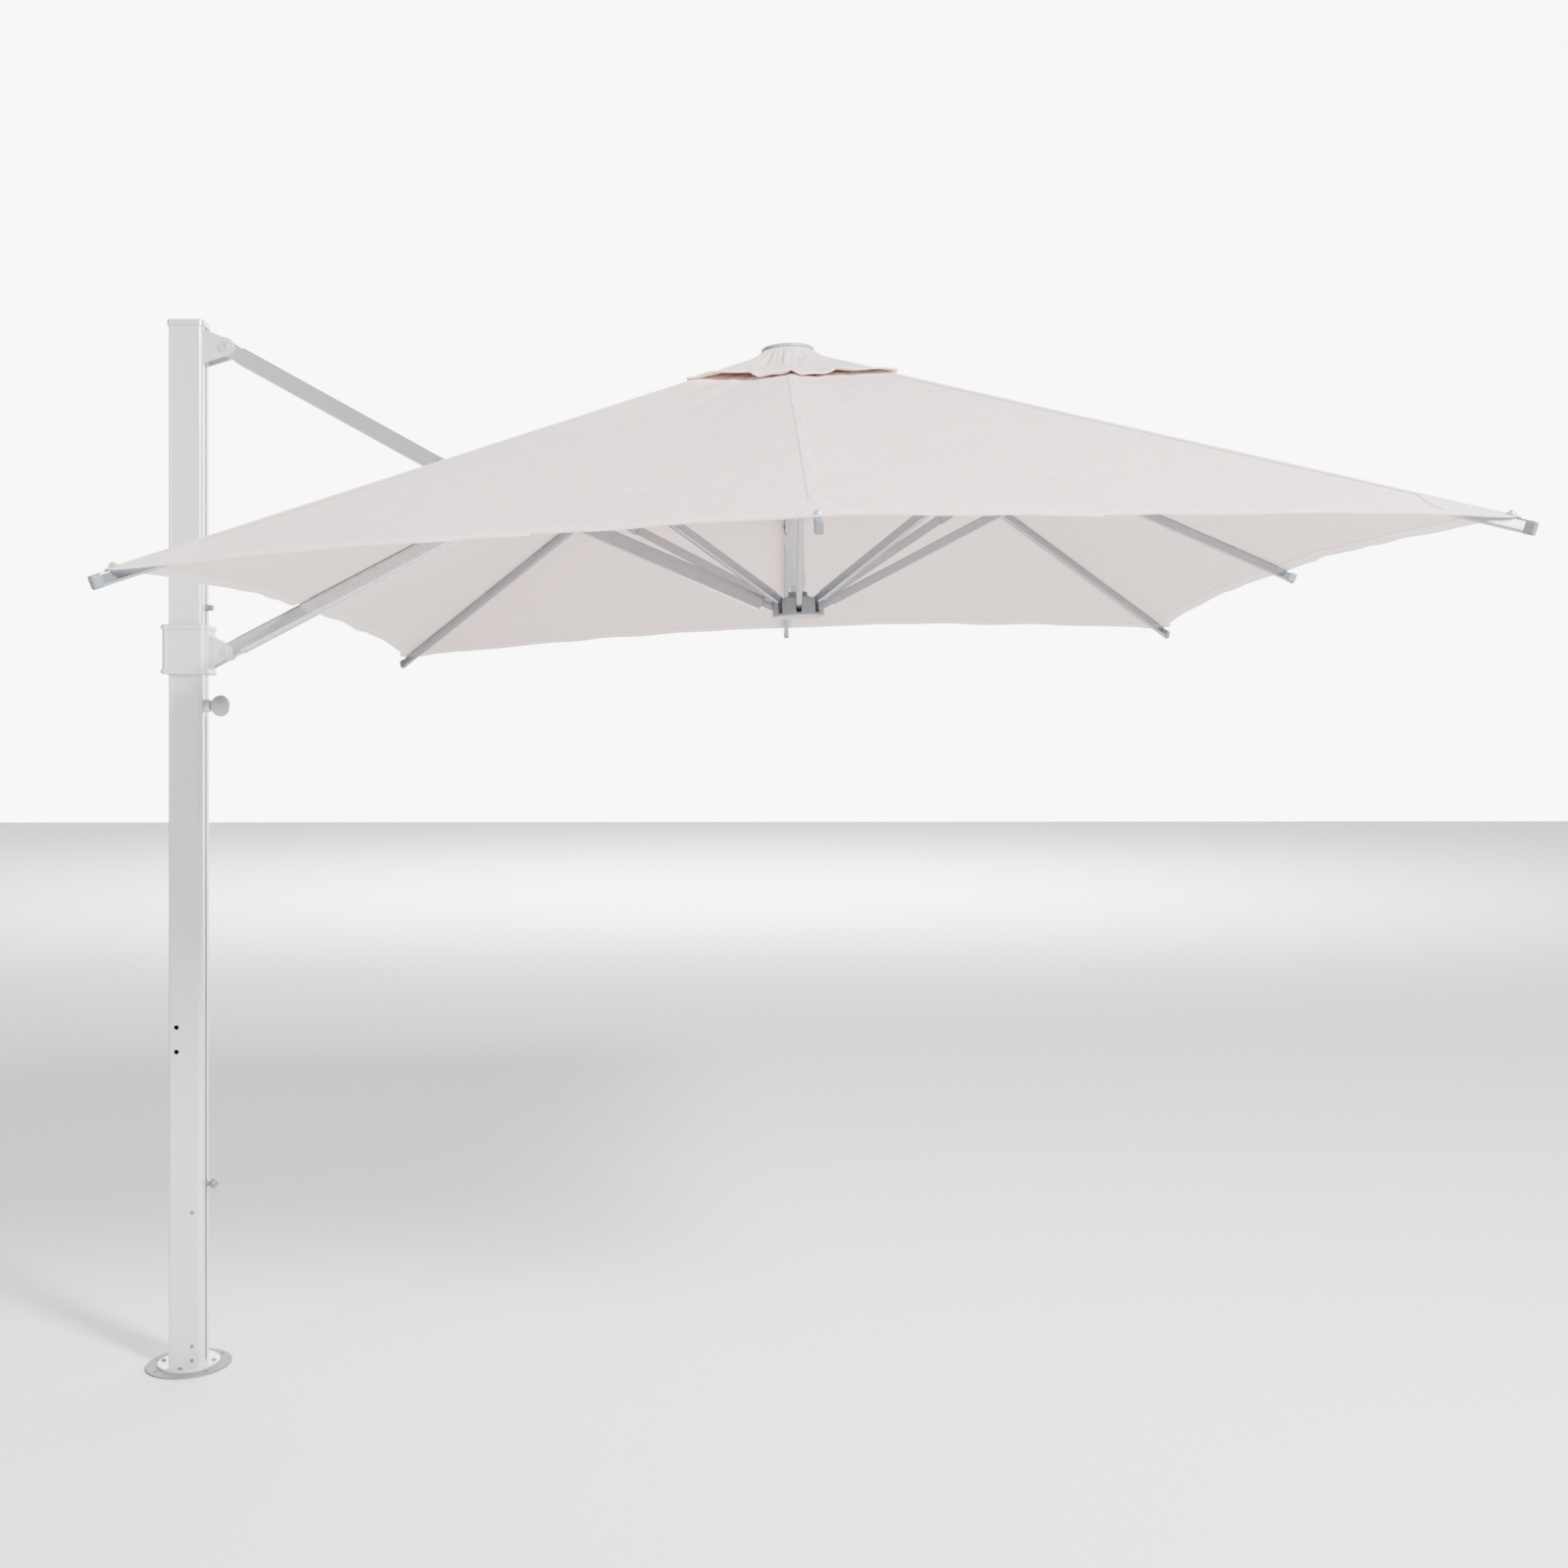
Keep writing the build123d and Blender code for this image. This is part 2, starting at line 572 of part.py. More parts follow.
with BuildPart() as hub_body:
    with BuildSketch(canopy_plane(HUB_LOW)):
        Circle(CROWN_RADIUS)
    extrude(amount=HUB_HIGH - HUB_LOW)
    fillet(hub_body.faces().sort_by(Axis(CROWN_CENTRE, AXIS_UP))[0].edges(), 5)
    add(radial_slots(HUB_LOW + 8, HUB_HIGH + 5, 46), mode=Mode.SUBTRACT)
    with BuildSketch(canopy_plane(HUB_HIGH)):
        Circle(40)
    extrude(amount=8)
    with BuildSketch(canopy_plane(HUB_HIGH + 8)):
        Circle(30)
    extrude(amount=14)
    with BuildSketch(canopy_plane(HUB_LOW + 8)):
        Circle(POLE_INNER)
    extrude(amount=HUB_HIGH - HUB_LOW + 20, mode=Mode.SUBTRACT)
    add(pins(-HUB_DROP), mode=Mode.SUBTRACT)
write(hub_body.part, "hub_body")
write(pins(-HUB_DROP), "hub_pins")

# ---------------------------------------------------------------- main strut (under the arm)

strut_angle = RIB_SLOPE - CANOPY_TILT
main_strut_member = side_plane(STRUT_PIN, -strut_angle)
MAIN_FORK = 175
HUB_TONGUE = 44
HUB_PIN = STRUT_PIN + main_strut_member.x_dir * RIB_PIN
hub_end = side_plane(HUB_PIN, 180 - strut_angle)
main_strut_bar = tube(main_strut_member, MAIN_FORK + 16, RIB_PIN - HUB_TONGUE, UPPER_WIDTH,
                      STRUT_HEIGHT, WALL, 12)
main_strut_fork = fork(main_strut_member, MAIN_FORK, 16, MAIN_FORK + 76, STRUT_HEIGHT, 34, MAIN_FORK_GAP,
                       MAIN_FORK_WIDTH, BOLT_RADIUS, STRUT_HEIGHT - PLUG_HEIGHT, UPPER_WIDTH - PLUG_WIDTH)
main_strut_tip = tongue(hub_end, HUB_TONGUE + 50, 20, TONGUE_WIDTH, PIN_RADIUS + RUNNING, HUB_TONGUE,
                        STRUT_HEIGHT - PLUG_HEIGHT, UPPER_WIDTH - PLUG_WIDTH)
write_group([main_strut_bar, main_strut_fork, main_strut_tip], "main_strut")
with BuildPart() as strut_pin:
    with BuildSketch(main_strut_member):
        Circle(BOLT_RADIUS)
    extrude(amount=MAIN_FORK_WIDTH / 2, both=True)
write(strut_pin.part, "strut_pin")

# ---------------------------------------------------------------- ribs and their struts

RIB_ROOT = 37
RIB_PLUG_HEIGHT = 22.5
RIB_PLUG_WIDTH = 10
CAP_LENGTH = 22
STRUT_FORK = 118
strut_pin_radius = HUB_RADIUS + RIB_PIN * cos(radians(RIB_SLOPE))
strut_pin_drop = RIB_PIN * sin(radians(RIB_SLOPE))


def rib_geometry(azimuth):
    if is_corner(azimuth):
        slope = CORNER_SLOPE
        length = (CORNER_REACH - HUB_RADIUS) / cos(radians(slope))
        lift = CORNER_LIFT
    else:
        slope = RIB_SLOPE
        length = (HALF_SIDE - HUB_RADIUS) / cos(radians(slope))
        lift = 0
    return slope, length, lift


def rib_bracket(member, along, depth):
    """A saddle under a corner rib that carries the strut's pin below the tube."""
    with BuildPart() as saddle:
        with BuildSketch(member):
            with Locations((along, -depth)):
                Circle(13)
            with BuildLine():
                Polyline((along - 13, -depth), (along - 34, -RIB_HEIGHT / 2), (along + 34, -RIB_HEIGHT / 2),
                         (along + 13, -depth), close=True)
            make_face()
            with Locations((along, -depth)):
                Circle(PIN_RADIUS, mode=Mode.SUBTRACT)
        extrude(amount=RIB_WIDTH / 2, both=True)
    return saddle.part


def rib_cap(member, length):
    """The moulded end cap: a collar round the tube's end with a rounded nose."""
    origin = member.from_local_coords(Vector(length - CAP_LENGTH, 0, 0))
    section = Plane(origin=origin, x_dir=member.z_dir, z_dir=member.x_dir)
    with BuildPart() as cap:
        with BuildSketch(section):
            RectangleRounded(RIB_WIDTH + 3, RIB_HEIGHT + 1, 6)
        extrude(amount=CAP_LENGTH)
        fillet(cap.faces().sort_by(Axis(origin, member.x_dir))[-1].edges(), 4)
    return cap.part


def rib_pin(member, along, depth):
    with BuildPart() as pin:
        with BuildSketch(member):
            with Locations((along, -depth)):
                Circle(PIN_RADIUS)
        extrude(amount=RIB_WIDTH / 2 + 7, both=True)
    return pin.part


def build_rib(name, azimuth):
    slope, length, lift = rib_geometry(azimuth)
    member = radial_plane(azimuth, HUB_RADIUS, lift, slope)
    target = radial_plane(azimuth, strut_pin_radius, lift - strut_pin_drop, 0).origin
    local = member.to_local_coords(target)
    along = local.X
    depth = -local.Y
    root = tongue(member, RIB_ROOT + 40, 22, TONGUE_WIDTH, PIN_RADIUS + RUNNING, RIB_ROOT,
                  RIB_PLUG_HEIGHT, RIB_PLUG_WIDTH)
    fittings = [root, rib_cap(member, length), rib_pin(member, along, depth)]
    with BuildPart() as rib_tube:
        add(tube(member, RIB_ROOT, length - CAP_LENGTH, RIB_WIDTH, RIB_HEIGHT, WALL, 7.5))
        if not is_corner(azimuth):
            with BuildSketch(member):
                with Locations((along, -depth)):
                    Circle(PIN_RADIUS)
            extrude(amount=RIB_WIDTH, both=True, mode=Mode.SUBTRACT)
    if is_corner(azimuth):
        fittings.append(rib_bracket(member, along, depth))
    write(rib_tube.part, f"rib_{name}")
    write_group(fittings, f"rib_fittings_{name}")


def build_strut(name, azimuth):
    lift = CORNER_LIFT if is_corner(azimuth) else 0
    top = radial_plane(azimuth, strut_pin_radius, lift - strut_pin_drop, 0)
    foot = radial_plane(azimuth, HUB_RADIUS, lift - HUB_DROP, -RIB_SLOPE)
    head = Plane(origin=top.origin, x_dir=foot.x_dir * -1, z_dir=foot.z_dir)
    bar = tube(head, STRUT_FORK + 12, RIB_PIN - RIB_ROOT, RIB_WIDTH, RIB_HEIGHT, WALL, 7.5)
    yoke = fork(head, STRUT_FORK, 12, STRUT_FORK + 52, RIB_HEIGHT, 22, RIB_WIDTH + 2, RIB_WIDTH + 10,
                PIN_RADIUS + RUNNING, RIB_PLUG_HEIGHT, RIB_PLUG_WIDTH)
    tip = tongue(foot, RIB_ROOT + 40, 20, TONGUE_WIDTH, PIN_RADIUS + RUNNING, RIB_ROOT,
                 RIB_PLUG_HEIGHT, RIB_PLUG_WIDTH)
    write_group([bar, yoke, tip], f"strut_{name}")


for rib_name, rib_azimuth in RIB_NAMES.items():
    build_rib(rib_name, rib_azimuth)
    build_strut(rib_name, rib_azimuth)

# ---------------------------------------------------------------- canopy

BISECTOR = tan(radians(22.5))


def mid_height(reach):
    return -(reach - HUB_RADIUS) * tan(radians(RIB_SLOPE))


def corner_height(reach):
    return CORNER_LIFT - (reach - HUB_RADIUS) * tan(radians(CORNER_SLOPE))


def seam_height(reach):
    """Height of the panel surface on the line half-way between two ribs."""
    share = BISECTOR
    return mid_height(reach) * (1 - share) + corner_height(reach * sqrt(2)) * share


def chevron(azimuth, reach, half_width, ridge, edge):
    """A thin roof-shaped section across a rib."""
    out = radial_plane(azimuth, reach, 0, 0)
    section = Plane(origin=out.origin, x_dir=out.z_dir, z_dir=out.x_dir * -1)
    with BuildSketch(section) as outline:
        with BuildLine():
            Polyline((-half_width, edge), (0, ridge), (half_width, edge),
                     (half_width, edge - FABRIC_THICK), (0, ridge - FABRIC_THICK),
                     (-half_width, edge - FABRIC_THICK), close=True)
        make_face()
    return outline.sketch


def build_panel(name, azimuth):
    rib_height = corner_height if is_corner(azimuth) else mid_height
    ridge_lift = FABRIC_LIFT
    if azimuth == 180:
        ridge_lift = ARM_FABRIC_LIFT
    if is_corner(azimuth):
        ridge_lift = FABRIC_LIFT + 2
    stations = [VENT_RADIUS, HALF_SIDE - HEM_INSET]
    sections = []
    for reach in stations:
        half_width = reach * BISECTOR - PANEL_GAP
        edge = seam_height(reach) + FABRIC_LIFT
        sections.append(chevron(azimuth, reach, half_width, rib_height(reach) + ridge_lift, edge))
    with BuildPart() as panel:
        loft(sections, ruled=True)
    if is_corner(azimuth):
        tip_reach = CORNER_REACH - HEM_INSET * sqrt(2)
        tip_height = corner_height(tip_reach) + ridge_lift
        tip = chevron(azimuth, tip_reach, 8, tip_height, tip_height - 0.4)
        with BuildPart() as corner:
            loft([sections[-1], tip], ruled=True)
        with BuildPart() as panel_joined:
            add(panel.part)
            add(corner.part)
        return panel_joined.part
    return panel.part


for panel_name, panel_azimuth in RIB_NAMES.items():
    write(build_panel(panel_name, panel_azimuth), f"canopy_{panel_name}")

with BuildPart() as canopy_inner:
    add(build_panel("inner", 180))
    with BuildSketch(arm_member):
        with Locations((ELBOW_ALONG, 60)):
            Rectangle(130, 110)
    extrude(amount=UPPER_FORK_WIDTH / 2 + 9, both=True, mode=Mode.SUBTRACT)
write(canopy_inner.part, "canopy_inner")

with BuildPart() as vent_flap:
    with BuildSketch(canopy_plane(FLAP_EDGE_Z)):
        Rectangle(2 * FLAP_HALF, 2 * FLAP_HALF)
    with BuildSketch(canopy_plane(FLAP_TOP_Z)):
        Rectangle(2 * DISC_RADIUS, 2 * DISC_RADIUS)
    loft(ruled=True)
    with BuildSketch(canopy_plane(FLAP_EDGE_Z)):
        Rectangle(2 * FLAP_HALF - 9, 2 * FLAP_HALF - 9)
    with BuildSketch(canopy_plane(FLAP_TOP_Z - FABRIC_THICK)):
        Rectangle(2 * DISC_RADIUS - 2, 2 * DISC_RADIUS - 2)
    loft(ruled=True, mode=Mode.SUBTRACT)
    with BuildSketch(canopy_plane(FLAP_TOP_Z - 10)):
        Circle(NECK_RADIUS + 1)
    extrude(amount=20, mode=Mode.SUBTRACT)
write(vent_flap.part, "vent_flap")
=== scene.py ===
"""Looks of the cantilever parasol: the sewn cover, its hems and patches, and every material.

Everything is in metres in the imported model's frame. The cover is described in the canopy's own
frame: local x points away from the mast, local z is the centre pole's axis, and the origin is
on that axis at the height of the mid ribs' pins.
"""
import json
import math

import bmesh
import bpy
from mathutils import Matrix, Vector, noise


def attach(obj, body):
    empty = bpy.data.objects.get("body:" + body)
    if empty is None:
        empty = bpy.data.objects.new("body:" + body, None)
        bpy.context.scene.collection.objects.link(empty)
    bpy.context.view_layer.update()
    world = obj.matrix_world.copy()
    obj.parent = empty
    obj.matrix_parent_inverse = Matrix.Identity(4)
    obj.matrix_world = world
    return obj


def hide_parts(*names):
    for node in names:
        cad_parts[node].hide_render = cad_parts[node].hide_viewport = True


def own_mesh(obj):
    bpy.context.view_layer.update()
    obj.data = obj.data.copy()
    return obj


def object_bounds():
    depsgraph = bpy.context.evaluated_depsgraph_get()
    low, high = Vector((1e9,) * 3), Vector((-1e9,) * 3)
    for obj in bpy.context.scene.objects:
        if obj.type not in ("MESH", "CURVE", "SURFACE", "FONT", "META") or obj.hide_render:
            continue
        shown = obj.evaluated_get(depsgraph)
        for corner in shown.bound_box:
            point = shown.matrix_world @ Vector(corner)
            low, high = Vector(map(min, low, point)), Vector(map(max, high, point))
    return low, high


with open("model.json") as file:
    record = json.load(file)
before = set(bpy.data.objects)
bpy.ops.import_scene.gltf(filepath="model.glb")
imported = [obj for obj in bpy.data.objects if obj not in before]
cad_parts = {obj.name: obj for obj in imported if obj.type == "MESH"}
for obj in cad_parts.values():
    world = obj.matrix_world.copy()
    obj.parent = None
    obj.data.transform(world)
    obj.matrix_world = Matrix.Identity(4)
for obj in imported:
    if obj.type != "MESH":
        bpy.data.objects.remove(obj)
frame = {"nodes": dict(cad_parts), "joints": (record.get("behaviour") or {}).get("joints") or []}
cad_box = [list(corner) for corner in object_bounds()]
nodes = frame["nodes"]
joints = {joint["name"]: joint for joint in frame["joints"]}

# ------------------------------------------------------------------ canopy frame and sizes

TILT = math.radians(2.3)
AXIS_UP = Vector((-math.sin(TILT), 0, math.cos(TILT)))
AXIS_OUT = Vector((math.cos(TILT), 0, math.sin(TILT)))
PIN_RING = 0.066
CROWN = Vector(joints["crown_pivot"]["pos_m"]) + AXIS_OUT * PIN_RING
CANOPY = Matrix((
    (AXIS_OUT.x, 0, AXIS_UP.x, CROWN.x),
    (0, 1, 0, CROWN.y),
    (AXIS_OUT.z, 0, AXIS_UP.z, CROWN.z),
    (0, 0, 0, 1),
))

HALF_SIDE = 1.5
MID_SLOPE = math.tan(math.radians(25.6))
CORNER_LIFT = 0.015
CORNER_DROP = 0.745
CORNER_SLOPE = (CORNER_DROP + CORNER_LIFT) / (HALF_SIDE * math.sqrt(2) - PIN_RING)
MID_LIFT = 0.0186
CORNER_RIDGE_LIFT = 0.0195
ARM_LIFT = 0.0134
VENT_HALF = 0.12
HEM_INSET = 0.020
HEM_SCALLOP = 0.026
SAG = 0.012
CLOTH = 0.0014
BISECTOR = math.tan(math.radians(22.5))
ARM_LIFT_HALF = 0.015
ARM_LIFT_FADE = 0.10

# how high each kind of fold stands
BROAD_FOLD = 0.009
SPOKE_FOLD = 0.0055
PULLED_FOLD = 0.0045
WAVE_FOLD = 0.003
PULL_FOLD = 0.003

RIBS = {"outer": 0, "far_outer": 45, "far": 90, "far_inner": 135, "inner": 180,
        "near_inner": -135, "near": -90, "near_outer": -45}


def mid_height(reach):
    return MID_LIFT - (reach - PIN_RING) * MID_SLOPE


def corner_height(reach):
    return CORNER_LIFT + CORNER_RIDGE_LIFT - (reach - PIN_RING) * CORNER_SLOPE


def smooth(value):
    value = max(0.0, min(1.0, value))
    return value * value * (3 - 2 * value)


def hem_reach(share):
    """How far out the hem lies, in from the ribs' tips, curved in between two ribs."""
    return HALF_SIDE - HEM_INSET - HEM_SCALLOP * 4 * share * (1 - share)


def side_direction(azimuth):
    angle = math.radians(azimuth)
    return Vector((math.cos(angle), math.sin(angle)))


def wrinkle(x, y, share, grown):
    """Fine folds: pulled lines along the ribs, loose waves at the hem and a soft unevenness."""
    broad = noise.noise(Vector((x * 1.7, y * 1.7, 3.1))) * BROAD_FOLD
    middle = 4 * share * (1 - share)
    angle = math.atan2(y, x)
    spokes = noise.noise(Vector((math.cos(angle) * 11, math.sin(angle) * 11, grown * 1.3)))
    pulled = noise.noise(Vector((share * 9, grown * 2.2, 7.7 + math.copysign(3, x * y))))
    waves = noise.noise(Vector((x * 5.3, y * 5.3, 9.4)))
    pulls = noise.noise(Vector((x * 3.1 + y * 5.2, y * 2.0 - x * 1.1, 5.5)))
    fine = (SPOKE_FOLD * spokes * grown + PULLED_FOLD * pulled + WAVE_FOLD * waves * grown
            + PULL_FOLD * pulls)
    return middle * (broad + fine)


def cover_height(x, y):
    """Height of the cloth over a point of the canopy's plan."""
    reach = max(abs(x), abs(y), 1e-6)
    share = min(abs(x), abs(y)) / reach
    grown = reach / HALF_SIDE
    height = mid_height(reach) * (1 - share) + corner_height(reach * math.sqrt(2)) * share
    sag = SAG * 4 * share * (1 - share) * math.sin(math.pi * min(1, grown))
    height += wrinkle(x, y, share, grown) - sag
    if x < 0:
        height += ARM_LIFT * smooth(1 - (abs(y) - ARM_LIFT_HALF) / ARM_LIFT_FADE)
    return height


def plan_point(side, share, reach):
    """A point on one side of the square: side is the azimuth of its middle, share is signed."""
    out = side_direction(side)
    across = Vector((-out.y, out.x))
    return out * reach + across * (reach * share)


def stations(azimuth, count):
    """(side, share) across one rib's piece of cloth, from its left seam to its right one."""
    if azimuth % 90 == 0:
        return [(azimuth, BISECTOR * (2 * i / (2 * count) - 1)) for i in range(2 * count + 1)]
    row = [(azimuth - 45, BISECTOR + (1 - BISECTOR) * i / count) for i in range(count + 1)]
    row += [(azimuth + 45, -1 + (1 - BISECTOR) * i / count) for i in range(1, count + 1)]
    return row


def to_world(x, y, z):
    return CANOPY @ Vector((x, y, z))


def new_object(name, bm, material, smooth_shading=True):
    bmesh.ops.recalc_face_normals(bm, faces=bm.faces)
    mesh = bpy.data.meshes.new(name)
    bm.to_mesh(mesh)
    bm.free()
    for face in mesh.polygons:
        face.use_smooth = smooth_shading
    mesh.materials.append(material)
    made = bpy.data.objects.new(name, mesh)
    bpy.context.scene.collection.objects.link(made)
    return made


def apply_modifiers(obj):
    graph = bpy.context.evaluated_depsgraph_get()
    baked = bpy.data.meshes.new_from_object(obj.evaluated_get(graph))
    obj.modifiers.clear()
    obj.data = baked


def thicken(obj, thickness, offset=-1.0):
    """Makes a sheet solid. Its cut edges are split off, so that neighbours shade as one."""
    skin = 2 * len(obj.data.polygons)
    solid = obj.modifiers.new("thickness", "SOLIDIFY")
    solid.thickness = thickness
    solid.offset = offset
    solid.use_even_offset = False
    apply_modifiers(obj)
    bm = bmesh.new()
    bm.from_mesh(obj.data)
    bm.faces.ensure_lookup_table()
    rim = {face.index for face in bm.faces if face.index >= skin}
    border = [e for e in bm.edges if len({f.index in rim for f in e.link_faces}) == 2]
    bmesh.ops.split_edges(bm, edges=border)
    bm.to_mesh(obj.data)
    bm.free()


def grid_mesh(name, rows, material, uvs=None, skip=None):
    """A quad sheet through rows of points, with UVs in metres."""
    bm = bmesh.new()
    uv_layer = bm.loops.layers.uv.new("UVMap")
    made = [[bm.verts.new(point) for point in row] for row in rows]
    for i in range(len(rows) - 1):
        for j in range(len(rows[0]) - 1):
            if skip and skip(i, j):
                continue
            corners = [(i, j), (i, j + 1), (i + 1, j + 1), (i + 1, j)]
            face = bm.faces.new([made[a][b] for a, b in corners])
            if uvs:
                for loop, (a, b) in zip(face.loops, corners):
                    loop[uv_layer].uv = uvs[a][b]
    loose = [v for v in bm.verts if not v.link_faces]
    bmesh.ops.delete(bm, geom=loose, context="VERTS")
    return new_object(name, bm, material)


# ------------------------------------------------------------------ materials

def nodes_of(material):
    material.use_nodes = True
    tree = material.node_tree
    return tree, tree.nodes["Principled BSDF"]


def add_node(tree, kind, **settings):
    node = tree.nodes.new(kind)
    for key, value in settings.items():
        if key in node.inputs:
            node.inputs[key].default_value = value
        else:
            setattr(node, key, value)
    return node


def ramp(tree, factor, low, high, start=0.3, end=0.7):
    node = tree.nodes.new("ShaderNodeValToRGB")
    node.color_ramp.elements[0].position = start
    node.color_ramp.elements[0].color = low
    node.color_ramp.elements[1].position = end
    node.color_ramp.elements[1].color = high
    tree.links.new(factor, node.inputs["Fac"])
    return node.outputs["Color"]


def scaled_coords(tree, scale, kind="Object"):
    coords = tree.nodes.new("ShaderNodeTexCoord")
    mapping = tree.nodes.new("ShaderNodeMapping")
    mapping.inputs["Scale"].default_value = scale
    tree.links.new(coords.outputs[kind], mapping.inputs["Vector"])
    return mapping.outputs["Vector"]


def noise_texture(tree, vector, scale, detail=4.0, rough=0.5):
    node = add_node(tree, "ShaderNodeTexNoise", Scale=scale, Detail=detail, Roughness=rough)
    tree.links.new(vector, node.inputs["Vector"])
    return node.outputs["Fac"]


def bump(tree, shader, height, strength, distance, before=None):
    node = add_node(tree, "ShaderNodeBump", Strength=strength, Distance=distance)
    tree.links.new(height, node.inputs["Height"])
    if before is not None:
        tree.links.new(before, node.inputs["Normal"])
    tree.links.new(node.outputs["Normal"], shader.inputs["Normal"])
    return node.outputs["Normal"]


def metal_material(name, colour, roughness, metallic, grain=(1, 1, 1), grain_scale=60,
                   grain_strength=0.05, blotch=0.03, speckle=900):
    """Coated or bare metal: fine speckle, drawn grain, slow colour drift and uneven gloss."""
    material = bpy.data.materials.new(name)
    tree, shader = nodes_of(material)
    shader.inputs["Metallic"].default_value = metallic
    shader.inputs["IOR"].default_value = 1.5
    plain = scaled_coords(tree, (1, 1, 1))
    drawn = scaled_coords(tree, grain)
    drift = noise_texture(tree, plain, 3.0, 3.0)
    low = tuple(c * (1 - blotch) for c in colour) + (1,)
    high = tuple(min(1, c * (1 + blotch)) for c in colour) + (1,)
    tree.links.new(ramp(tree, drift, low, high), shader.inputs["Base Color"])
    lines = noise_texture(tree, drawn, grain_scale, 5.0, 0.6)
    dull = tuple([roughness - 0.03] * 3) + (1,)
    duller = tuple([roughness + 0.03] * 3) + (1,)
    tree.links.new(ramp(tree, lines, dull, duller), shader.inputs["Roughness"])
    first = bump(tree, shader, lines, grain_strength, 0.0006)
    specks = noise_texture(tree, plain, speckle, 2.0)
    bump(tree, shader, specks, grain_strength * 1.5, 0.0003, first)
    return material


def plastic_material(name, colour, roughness):
    """Moulded plastic: a fine grain with a slow sheen variation."""
    material = bpy.data.materials.new(name)
    tree, shader = nodes_of(material)
    plain = scaled_coords(tree, (1, 1, 1))
    drift = noise_texture(tree, plain, 14.0, 4.0)
    low = tuple(c * 0.93 for c in colour) + (1,)
    high = tuple(min(1, c * 1.06) for c in colour) + (1,)
    tree.links.new(ramp(tree, drift, low, high), shader.inputs["Base Color"])
    grain = noise_texture(tree, plain, 1400.0, 3.0, 0.6)
    smooth_part = tuple([roughness - 0.06] * 3) + (1,)
    rough_part = tuple([roughness + 0.08] * 3) + (1,)
    tree.links.new(ramp(tree, drift, smooth_part, rough_part), shader.inputs["Roughness"])
    bump(tree, shader, grain, 0.25, 0.0003)
    return material


YARNS = 420.0


def cloth_material(name, colour):
    """Plain-woven canvas: yarns both ways, slubs, faint creases and slow colour drift."""
    material = bpy.data.materials.new(name)
    tree, shader = nodes_of(material)
    shader.inputs["Roughness"].default_value = 0.92
    shader.inputs["Sheen Weight"].default_value = 0.25
    shader.inputs["Sheen Roughness"].default_value = 0.5
    shader.inputs["Specular IOR Level"].default_value = 0.2
    plain = scaled_coords(tree, (1, 1, 1), "UV")
    drift = noise_texture(tree, plain, 1.6, 4.0, 0.55)
    slubs = noise_texture(tree, scaled_coords(tree, (60, 900, 1), "UV"), 1.0, 2.0)
    mixed = add_node(tree, "ShaderNodeMath", operation="MULTIPLY_ADD")
    tree.links.new(slubs, mixed.inputs[0])
    mixed.inputs[1].default_value = 0.35
    tree.links.new(drift, mixed.inputs[2])
    low = tuple(c * 0.955 for c in colour) + (1,)
    high = tuple(min(1, c * 1.02) for c in colour) + (1,)
    shade = ramp(tree, mixed.outputs[0], low, high, 0.45, 0.85)
    tree.links.new(shade, shader.inputs["Base Color"])
    warp, weft = (add_node(tree, "ShaderNodeTexWave", Scale=YARNS, Distortion=0.4,
                           bands_direction=way) for way in "XY")
    tree.links.new(plain, warp.inputs["Vector"])
    tree.links.new(plain, weft.inputs["Vector"])
    weave = add_node(tree, "ShaderNodeMath", operation="MULTIPLY")
    tree.links.new(warp.outputs["Fac"], weave.inputs[0])
    tree.links.new(weft.outputs["Fac"], weave.inputs[1])
    creases = noise_texture(tree, scaled_coords(tree, (2.6, 4.6, 1), "UV"), 2.4, 6.0, 0.62)
    first = bump(tree, shader, creases, 0.7, 0.03)
    bump(tree, shader, weave.outputs[0], 0.35, 0.0005, first)
    return material


EVEN = (1, 1, 1)
DRAWN_ALONG_Z = (1, 1, 0.03)

SILVER = metal_material("silver_coat", (0.63, 0.645, 0.68), 0.38, 0.40, DRAWN_ALONG_Z, 160, 0.03)
SILVER_ARM = metal_material("silver_arm", (0.56, 0.575, 0.61), 0.26, 0.65, EVEN, 260, 0.015)
# the strut and the ribs are the arm's silver metal with a darker colour: painted shade
SHADED_SILVER_STRUT = metal_material("silver_strut_painted_shade", (0.33, 0.345, 0.38), 0.22, 0.85, EVEN, 260, 0.015)
SHADED_SILVER_RIB = metal_material("silver_rib_painted_shade", (0.33, 0.35, 0.39), 0.22, 0.90, EVEN, 260, 0.015)
CAST = metal_material("cast_aluminium", (0.16, 0.163, 0.17), 0.62, 0.1, EVEN, 120, 0.3,
                      blotch=0.08, speckle=500)
# near black for the faces of the mast's slot: painted shade in the recess
GROOVE_PAINTED_SHADE = plastic_material("groove_painted_shade", (0.05, 0.05, 0.055), 0.6)
STEEL = metal_material("bright_steel", (0.66, 0.66, 0.67), 0.36, 0.6, EVEN, 200, 0.08)
GREY_PLASTIC = plastic_material("grey_plastic", (0.35, 0.36, 0.395), 0.5)
DARK_STEEL = metal_material("dark_steel", (0.20, 0.20, 0.21), 0.42, 0.6, EVEN, 200, 0.08)
HUB_PLASTIC = plastic_material("hub_plastic", (0.16, 0.167, 0.185), 0.42)
BLACK_PLASTIC = plastic_material("black_plastic", (0.02, 0.02, 0.022), 0.5)
CANVAS = cloth_material("canvas", (0.81, 0.645, 0.595))
CANVAS_HEM = cloth_material("canvas_hem", (0.84, 0.71, 0.67))
SEAM = cloth_material("canvas_seam", (0.83, 0.70, 0.66))

